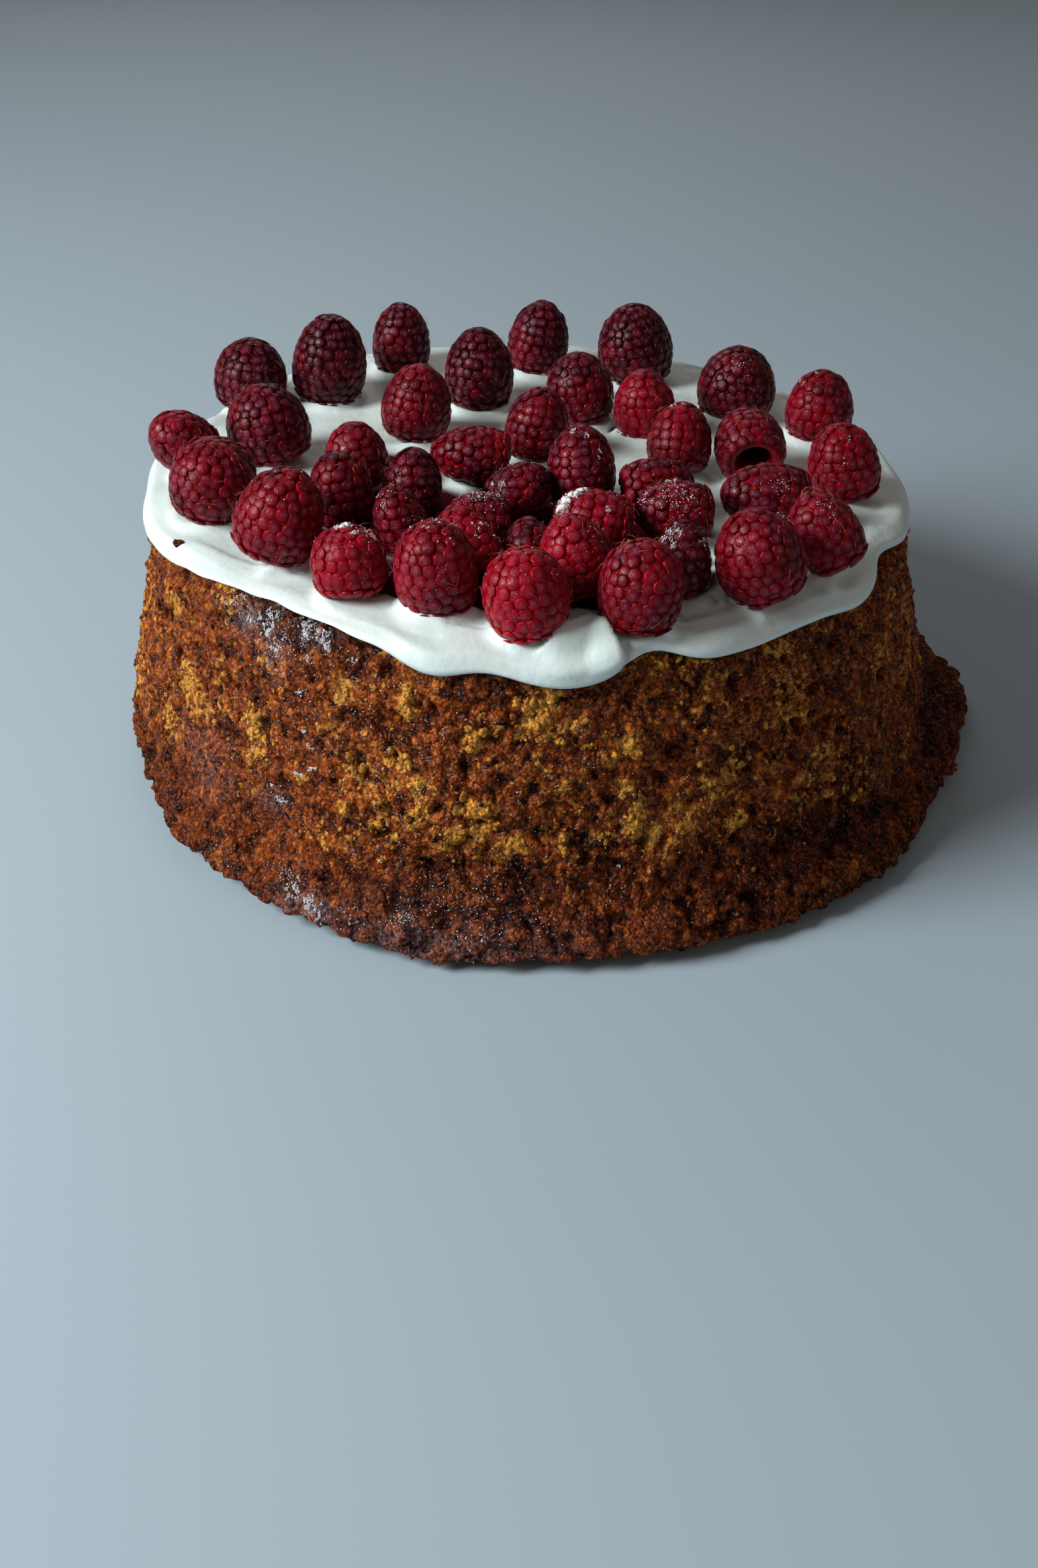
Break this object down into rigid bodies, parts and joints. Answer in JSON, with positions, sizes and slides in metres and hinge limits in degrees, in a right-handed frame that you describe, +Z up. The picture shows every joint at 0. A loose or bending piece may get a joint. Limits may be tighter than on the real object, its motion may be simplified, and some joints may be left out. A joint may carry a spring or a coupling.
{
  "type": "carrot cake",
  "caption": "Round single-layer carrot cake with a crumbly brown crust and flared foot, white cream icing on top and whole raspberries.",
  "frame": {"origin": "centre of the sponge's flat underside, on the surface it rests on", "axes": "+Z up through the icing; -Y is the front, where the icing's edge hangs lowest; +X is the side where the foot's lip stands out furthest"},
  "size_m": [0.2426, 0.2436, 0.0992],
  "materials": {
    "sponge": "baked crumb, matt with a slight sheen",
    "icing": "smooth satin cream",
    "raspberry": "soft satin fruit skin"
  },
  "bodies": {
    "root": {"sponge": "sponge", "icing": "icing", "raspberry_01": "raspberry", "raspberry_02": "raspberry", "raspberry_03": "raspberry", "raspberry_04": "raspberry", "raspberry_05": "raspberry", "raspberry_06": "raspberry", "raspberry_07": "raspberry", "raspberry_08": "raspberry", "raspberry_09": "raspberry", "raspberry_10": "raspberry", "raspberry_11": "raspberry", "raspberry_12": "raspberry", "raspberry_13": "raspberry", "raspberry_14": "raspberry", "raspberry_15": "raspberry", "raspberry_16": "raspberry", "raspberry_17": "raspberry", "raspberry_18": "raspberry", "raspberry_19": "raspberry", "raspberry_20": "raspberry", "raspberry_21": "raspberry", "raspberry_22": "raspberry", "raspberry_23": "raspberry", "raspberry_24": "raspberry", "raspberry_25": "raspberry", "raspberry_26": "raspberry", "raspberry_27": "raspberry", "raspberry_28": "raspberry", "raspberry_29": "raspberry", "raspberry_30": "raspberry", "raspberry_31": "raspberry", "raspberry_32": "raspberry", "raspberry_33": "raspberry", "raspberry_34": "raspberry", "raspberry_35": "raspberry", "raspberry_36": "raspberry", "raspberry_37": "raspberry", "raspberry_38": "raspberry", "raspberry_39": "raspberry", "raspberry_40": "raspberry", "raspberry_41": "raspberry"}
  },
  "joints": []
}
